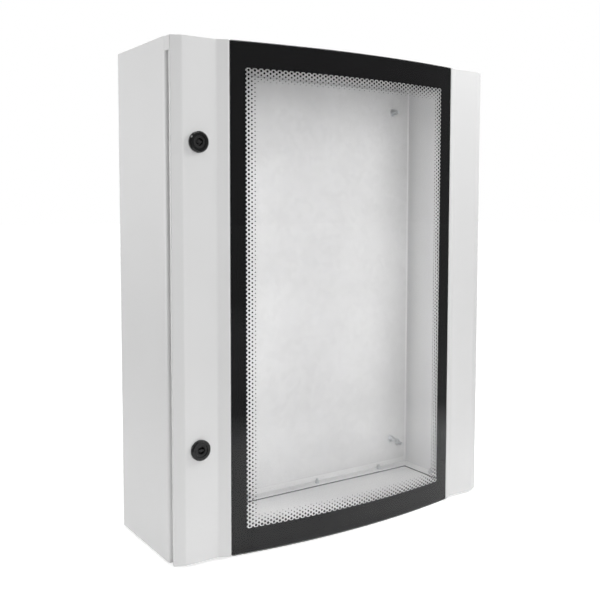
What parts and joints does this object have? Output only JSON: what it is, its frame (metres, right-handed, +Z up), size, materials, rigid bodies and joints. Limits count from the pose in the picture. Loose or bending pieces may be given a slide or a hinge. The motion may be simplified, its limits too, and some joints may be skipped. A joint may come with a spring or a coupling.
{
  "type": "distribution board",
  "caption": "Wall-mounted sheet-steel distribution board with a bowed glass door, printed border, quarter-turn locks, mounting plate and gland plate.",
  "frame": {"origin": "middle of the four wall-fixing holes, in the plane of the cabinet's back", "axes": "+X to the right as seen from the front, +Y into the wall, +Z up"},
  "size_m": [0.6, 0.2249, 0.7535],
  "materials": {
    "grey_powder_coated_steel": "satin light grey powder coat",
    "galvanised_sheet": "bright galvanised, slightly blotchy",
    "zinc_plated_steel": "bright zinc plating",
    "tempered_glass": "clear polished tempered glass",
    "black_enamel_print": "black screen-printed enamel",
    "adhesive_bead": "matt black adhesive",
    "black_rubber": "matt black foam rubber",
    "black_lock_plastic": "glossy black moulding",
    "black_coated_die_cast": "black coated die casting"
  },
  "bodies": {
    "enclosure": {"enclosure_body": "grey_powder_coated_steel", "mounting_plate": "galvanised_sheet", "plate_studs": "zinc_plated_steel", "plate_nuts": "zinc_plated_steel", "gland_gasket": "black_rubber", "gland_plate": "grey_powder_coated_steel", "gland_studs": "zinc_plated_steel", "gland_nuts": "zinc_plated_steel", "earth_stud": "zinc_plated_steel", "earth_washer": "zinc_plated_steel", "earth_nut": "zinc_plated_steel", "upper_hinge_bracket": "zinc_plated_steel", "lower_hinge_bracket": "zinc_plated_steel"},
    "door": {"lock_stile": "grey_powder_coated_steel", "hinge_stile": "grey_powder_coated_steel", "inner_frame": "grey_powder_coated_steel", "top_rail": "grey_powder_coated_steel", "bottom_rail": "grey_powder_coated_steel", "door_gasket": "black_rubber", "door_glass": "tempered_glass", "glass_print": "black_enamel_print", "glass_bond": "adhesive_bead", "upper_hinge_leaf": "zinc_plated_steel", "lower_hinge_leaf": "zinc_plated_steel", "upper_hinge_pin": "zinc_plated_steel", "lower_hinge_pin": "zinc_plated_steel", "upper_lock_housing": "black_lock_plastic", "upper_lock_seal": "black_rubber", "upper_lock_nut": "zinc_plated_steel", "lower_lock_housing": "black_lock_plastic", "lower_lock_seal": "black_rubber", "lower_lock_nut": "zinc_plated_steel"},
    "upper_lock": {"upper_lock_core": "black_coated_die_cast", "upper_lock_cam": "zinc_plated_steel", "upper_cam_screw": "zinc_plated_steel"},
    "lower_lock": {"lower_lock_core": "black_coated_die_cast", "lower_lock_cam": "zinc_plated_steel", "lower_cam_screw": "zinc_plated_steel"}
  },
  "joints": [
    {"name": "door_hinge", "type": "hinge", "parent": "enclosure", "child": "door", "pos_m": [0.292, -0.188, 0], "axis": [0, 0, 1], "range_deg": [0, 120]},
    {"name": "upper_lock_turn", "type": "hinge", "parent": "door", "child": "upper_lock", "pos_m": [-0.261, -0.19, 0.229], "axis": [0, -1, 0], "range_deg": [0, 90]},
    {"name": "lower_lock_turn", "type": "hinge", "parent": "door", "child": "lower_lock", "pos_m": [-0.261, -0.19, -0.209], "axis": [0, -1, 0], "range_deg": [0, 90]}
  ]
}
